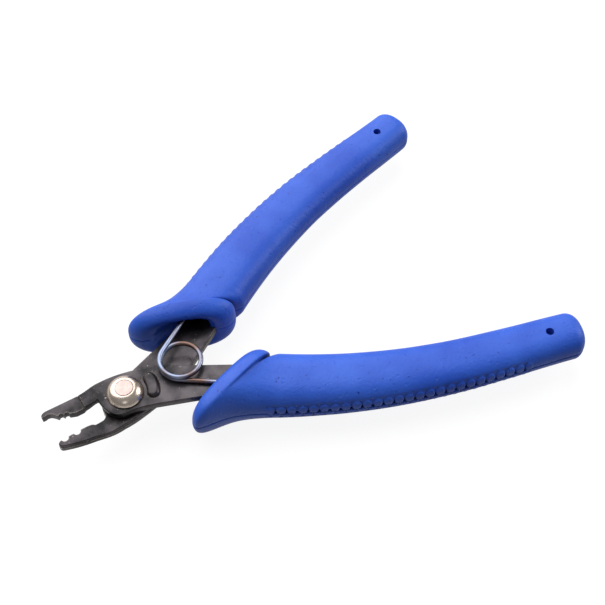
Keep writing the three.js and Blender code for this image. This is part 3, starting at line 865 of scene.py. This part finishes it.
def grip(name, flange, side, seed):
    """A grip whose handle is on the -Y side, or for a side of 1 on the +Y side."""
    angles = around_angles()
    mouth = mouth_sections(flange)
    skins = []
    for lip_steps in (LIP_STEPS, PLAIN_LIP_STEPS):
        lip = lip_sections(flange, lip_steps)
        sections = mouth + lip + flare_sections(lip[-1]) + handle_sections()
        skins.append(skin(sections, angles))
    stepped = ease(np.cos(angles), *LIP_BLEND)[None, :, None]
    points = skins[0] * stepped + skins[1] * (1 - stepped)
    first_lip = len(mouth)
    last_lip = first_lip + len(lip)
    points = relax(points, angles, last_lip)
    detail = scallops(points, angles, last_lip) - parting_line(points, angles, first_lip)
    detail += WAVINESS * unevenness(points, WAVE_SIZE, seed)
    row = np.arange(len(points))[:, None]
    flash = FLASH_HEIGHT * bell((row - first_lip) / FLASH_ROWS)
    detail += flash * unevenness(points, FLASH_SIZE, seed + FLASH_SEED)
    end_fade = np.clip((len(points) - 1 - row) / END_FADE_ROWS, 0, 1)
    points = points + outward(points) * (detail * end_fade)[..., None]
    points[..., 1] *= -side
    obj = loft(name, points)
    hole_x, hole_y = handle_point(LOCATING_HOLE_AT)
    profile = [(LOCATING_HOLE_RADIUS, -LOCATING_HOLE_REACH), (LOCATING_HOLE_RADIUS, LOCATING_HOLE_REACH)]
    combine(obj, loft("hole", round_rings(profile, 48, (hole_x, -side * hole_y))), "DIFFERENCE")
    return obj


# ---- Materials ----

class Shader:
    """A material being built, with short calls for its nodes."""

    def __init__(self, name):
        self.material = bpy.data.materials.new(name)
        self.material.use_nodes = True
        self.tree = self.material.node_tree
        self.surface = self.tree.nodes["Principled BSDF"]
        self.place = self.add("ShaderNodeTexCoord").outputs["Object"]

    def add(self, kind, **inputs):
        node = self.tree.nodes.new(kind)
        for key, value in inputs.items():
            self.set(node, key, value)
        return node

    def set(self, node, key, value):
        """Sets or links an input, given by its name or, as i and a number, by its place."""
        by_place = key[0] == "i" and key[1:].isdigit()
        socket = node.inputs[int(key[1:]) if by_place else key]
        if isinstance(value, bpy.types.NodeSocket):
            self.tree.links.new(value, socket)
        else:
            socket.default_value = value

    def noise(self, scale, detail=3.0, roughness=0.55, place=None):
        node = self.add("ShaderNodeTexNoise", Vector=place or self.place, Scale=scale)
        node.inputs["Detail"].default_value = detail
        node.inputs["Roughness"].default_value = roughness
        return node.outputs["Fac"]

    def range(self, value, low, high, to_low=0.0, to_high=1.0):
        node = self.add("ShaderNodeMapRange", Value=value)
        node.inputs["From Min"].default_value = low
        node.inputs["From Max"].default_value = high
        node.inputs["To Min"].default_value = to_low
        node.inputs["To Max"].default_value = to_high
        return node.outputs["Result"]

    def maths(self, operation, first, second=0.0):
        node = self.add("ShaderNodeMath", i0=first, i1=second)
        node.operation = operation
        return node.outputs[0]

    def mix(self, share, first, second):
        node = self.tree.nodes.new("ShaderNodeMix")
        node.data_type = "RGBA"
        self.set(node, "i0", share)
        self.set(node, "i6", first)
        self.set(node, "i7", second)
        return node.outputs[2]

    def stretched(self, scale):
        node = self.add("ShaderNodeMapping", Vector=self.place)
        node.inputs["Scale"].default_value = scale
        return node.outputs[0]

    def bump(self, height, distance, strength=1.0, normal=None):
        node = self.add("ShaderNodeBump", Height=height, Distance=distance, Strength=strength)
        if normal is not None:
            self.set(node, "Normal", normal)
        return node.outputs["Normal"]

    def edges(self, radius, low, high):
        """1 on edges sharper than the radius, 0 on open faces."""
        rounded = self.add("ShaderNodeBevel", Radius=radius)
        rounded.samples = 6
        plain = self.add("ShaderNodeNewGeometry").outputs["Normal"]
        node = self.add("ShaderNodeVectorMath", i0=rounded.outputs[0], i1=plain)
        node.operation = "DOT_PRODUCT"
        return self.range(node.outputs["Value"], high, low)

    def finish(self, **inputs):
        for key, value in inputs.items():
            self.set(self.surface, key.replace("_", " "), value)
        return self.material


def colour(red, green, blue):
    """A colour given as it looks on a screen, 0 to 255, made linear."""
    channels = [c / 255 for c in (red, green, blue)]
    return (*[c / 12.92 if c <= 0.04045 else ((c + 0.055) / 1.055) ** 2.4 for c in channels], 1.0)


def blue_grip():
    s = Shader("blue_grip")
    patch = s.noise(60, 2.0)
    base = s.mix(s.range(patch, 0.35, 0.65), colour(38, 82, 194), colour(54, 100, 212))
    speck = s.range(s.noise(900, 1.0), 0.74, 0.78)
    base = s.mix(speck, base, colour(24, 48, 140))
    # Painted shade: ambient occlusion darkens the blue in the scallop valleys, the parting groove and
    # the lip's crease
    painted_crevice_shade = s.add("ShaderNodeAmbientOcclusion", Distance=0.0014).outputs["AO"]
    base = s.mix(s.range(painted_crevice_shade, 0.35, 0.85), colour(14, 30, 96), base)
    pebble = s.noise(3200, 3.0)
    orange_peel = s.noise(1000, 2.0)
    normal = s.bump(orange_peel, 0.00012, 0.7)
    normal = s.bump(pebble, 0.00004, 0.8, normal)
    pits = s.range(s.noise(1100, 0.0), 0.22, 0.27, 0.0, 1.0)
    normal = s.bump(pits, 0.0001, 0.6, normal)
    rough = s.range(pebble, 0.3, 0.7, 0.36, 0.48)
    return s.finish(Base_Color=base, Roughness=rough, Normal=normal, Specular_IOR_Level=0.3)


def black_steel():
    s = Shader("black_steel")
    patch = s.noise(110, 5.0)
    base = s.mix(s.range(patch, 0.4, 0.62), colour(24, 22, 24), colour(78, 73, 76))
    # Lighter steel on sharp edges, in patches: partly worn edges and partly a painted edge highlight
    wear_and_edge_highlight = s.maths("MULTIPLY", s.edges(0.0005, 0.7, 0.985), s.range(s.noise(700, 4.0), 0.3, 0.5))
    base = s.mix(wear_and_edge_highlight, base, colour(156, 146, 140))
    specks = s.range(s.noise(1500, 2.0), 0.7, 0.76)
    base = s.mix(specks, base, colour(140, 134, 130))
    grain = s.noise(2600, 4.0)
    normal = s.bump(grain, 0.00002, 0.5)
    scratches = s.noise(260, 3.0, place=s.stretched((1.0, 9.0, 14.0)))
    normal = s.bump(scratches, 0.00003, 0.25, normal)
    rough = s.range(s.noise(320, 4.0), 0.3, 0.7, 0.26, 0.4)
    return s.finish(Base_Color=base, Metallic=0.7, Roughness=rough, Normal=normal)


def rivet_nickel():
    s = Shader("rivet_nickel")
    base = s.mix(s.range(s.noise(160, 3.0), 0.4, 0.65), colour(206, 190, 176), colour(192, 172, 156))
    normal = s.bump(s.noise(700, 3.0), 0.00003, 0.35)
    rough = s.range(s.noise(900, 3.0), 0.3, 0.7, 0.2, 0.3)
    return s.finish(Base_Color=base, Metallic=0.92, Roughness=rough, Normal=normal)


def shank_nickel():
    s = Shader("shank_nickel")
    base = s.mix(s.range(s.noise(900, 3.0), 0.4, 0.65), colour(186, 168, 162), colour(176, 154, 148))
    normal = s.bump(s.noise(1500, 3.0), 0.00004, 0.5)
    return s.finish(Base_Color=base, Metallic=0.9, Roughness=0.42, Normal=normal)


def spring_steel():
    s = Shader("spring_steel")
    tint = s.range(s.noise(110, 2.0), 0.42, 0.6)
    base = s.mix(tint, colour(134, 144, 168), colour(112, 90, 82))
    normal = s.bump(s.noise(1500, 3.0), 0.00001, 0.2)
    rough = s.range(s.noise(600, 3.0), 0.3, 0.7, 0.3, 0.42)
    return s.finish(Base_Color=base, Metallic=1.0, Roughness=rough, Normal=normal)


def paint(obj, material):
    obj.data.materials.clear()
    obj.data.materials.append(material)


# ---- Assembly ----

CRISP_DEGREES = 32
SOFT_DEGREES = 50


def place(obj, node, material, slot, body, sharp_degrees):
    """Gives a piece its looks, in place of a CAD node and riding on its body."""
    shade(obj.data, sharp_degrees)
    paint(obj, material)
    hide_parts(node)
    if body:
        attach(obj, body)
    return obj


steel = black_steel()
nickel = rivet_nickel()
plastic = blue_grip()
place(front_blade(), "front_blade", steel, "black_steel", "front_half", CRISP_DEGREES)
place(back_blade(), "back_blade", steel, "black_steel", "back_half", CRISP_DEGREES)
place(rivet(), "pivot_rivet", shank_nickel(), "rivet_nickel", "front_half", CRISP_DEGREES)
place(collar(), "rivet_collar", nickel, "rivet_nickel", "front_half", CRISP_DEGREES)
front_grip = grip("front_grip_moulding", FRONT_FLANGE, -1, FRONT_GRIP_SEED)
place(front_grip, "front_grip", plastic, "blue_grip", "front_half", SOFT_DEGREES)
back_grip = grip("back_grip_moulding", BACK_FLANGE, 1, BACK_GRIP_SEED)
place(back_grip, "back_grip", plastic, "blue_grip", "back_half", SOFT_DEGREES)
wire = place(spring(), "return_spring", spring_steel(), "spring_steel", None, SOFT_DEGREES)
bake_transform(wire)


# ---- Stage ----

# The floor and sky look bright, but throw little light on the object. Pairs are the glow seen
# otherwise and in reflections, and the strength of the sky at the horizon and overhead.
FLOOR_SIZE = 6
FLOOR_GAP = 0.0002
FLOOR_TO_CAMERA = 0.8
FLOOR_GLOW = (0.1, 0.6)
SKY_COLOUR = (0.93, 0.96, 1.0, 1.0)
SKY_STRENGTH = (0.02, 0.13)
SKY_FULL_AT = 0.9
SKY_EXTRA = [("Is Glossy Ray", 0.25), ("Is Camera Ray", 0.9)]


def floor():
    low = cad_box[0][2]
    bpy.ops.mesh.primitive_plane_add(size=FLOOR_SIZE, location=(0.05, 0, low - FLOOR_GAP))
    obj = bpy.context.object
    obj.name = "floor"
    s = Shader("pale_floor")
    light_path = s.add("ShaderNodeLightPath")
    seen = s.range(light_path.outputs["Is Camera Ray"], 0, 1, 0, FLOOR_TO_CAMERA)
    mirrored = s.range(light_path.outputs["Is Glossy Ray"], 0, 1, *FLOOR_GLOW)
    base = s.mix(s.noise(8, 2.0), (0.13, 0.13, 0.13, 1), (0.15, 0.15, 0.15, 1))
    glow = s.maths("ADD", seen, mirrored)
    s.finish(Base_Color=base, Roughness=0.9, Emission_Color=(1, 1, 1, 1), Emission_Strength=glow)
    paint(obj, s.material)


def area_light(name, location, size, power):
    light = bpy.data.lights.new(name, "AREA")
    light.shape = "DISK"
    light.size = size
    light.energy = power
    obj = make_object(name, light)
    obj.location = location
    aim = Vector(LIGHT_TARGET) - Vector(location)
    obj.rotation_euler = aim.to_track_quat("-Z", "Y").to_euler()


def studio():
    world = bpy.data.worlds.new("studio")
    bpy.context.scene.world = world
    world.use_nodes = True
    tree = world.node_tree
    direction_node = tree.nodes.new("ShaderNodeTexCoord")
    split = tree.nodes.new("ShaderNodeSeparateXYZ")
    ramp = tree.nodes.new("ShaderNodeMapRange")
    ramp.inputs["From Min"].default_value = 0.0
    ramp.inputs["From Max"].default_value = SKY_FULL_AT
    ramp.inputs["To Min"].default_value = SKY_STRENGTH[0]
    ramp.inputs["To Max"].default_value = SKY_STRENGTH[1]
    background = tree.nodes["Background"]
    background.inputs["Color"].default_value = SKY_COLOUR
    tree.links.new(direction_node.outputs["Generated"], split.inputs[0])
    tree.links.new(split.outputs["Z"], ramp.inputs["Value"])
    light_path = tree.nodes.new("ShaderNodeLightPath")
    strength = ramp.outputs["Result"]
    for ray, extra in SKY_EXTRA:
        add = tree.nodes.new("ShaderNodeMath")
        add.operation = "MULTIPLY_ADD"
        add.inputs[1].default_value = extra
        tree.links.new(light_path.outputs[ray], add.inputs[0])
        tree.links.new(strength, add.inputs[2])
        strength = add.outputs[0]
    tree.links.new(strength, background.inputs["Strength"])
    for name, location, size, power in LIGHTS:
        area_light(name, location, size, power)


def camera():
    data = bpy.data.cameras.new("camera")
    data.lens = CAMERA_LENS
    data.sensor_width = 36
    data.clip_start = 0.01
    obj = make_object("camera", data)
    back = Vector((
        math.sin(CAMERA_AZIMUTH) * math.cos(CAMERA_ELEVATION),
        -math.cos(CAMERA_AZIMUTH) * math.cos(CAMERA_ELEVATION),
        math.sin(CAMERA_ELEVATION),
    ))
    obj.location = (Vector(CAMERA_TARGET) + back * CAMERA_DISTANCE) * MM
    obj.rotation_euler = (-back).to_track_quat("-Z", "Y").to_euler()
    bpy.context.scene.camera = obj


floor()
studio()
camera()
bpy.context.scene.view_settings.view_transform = "Standard"
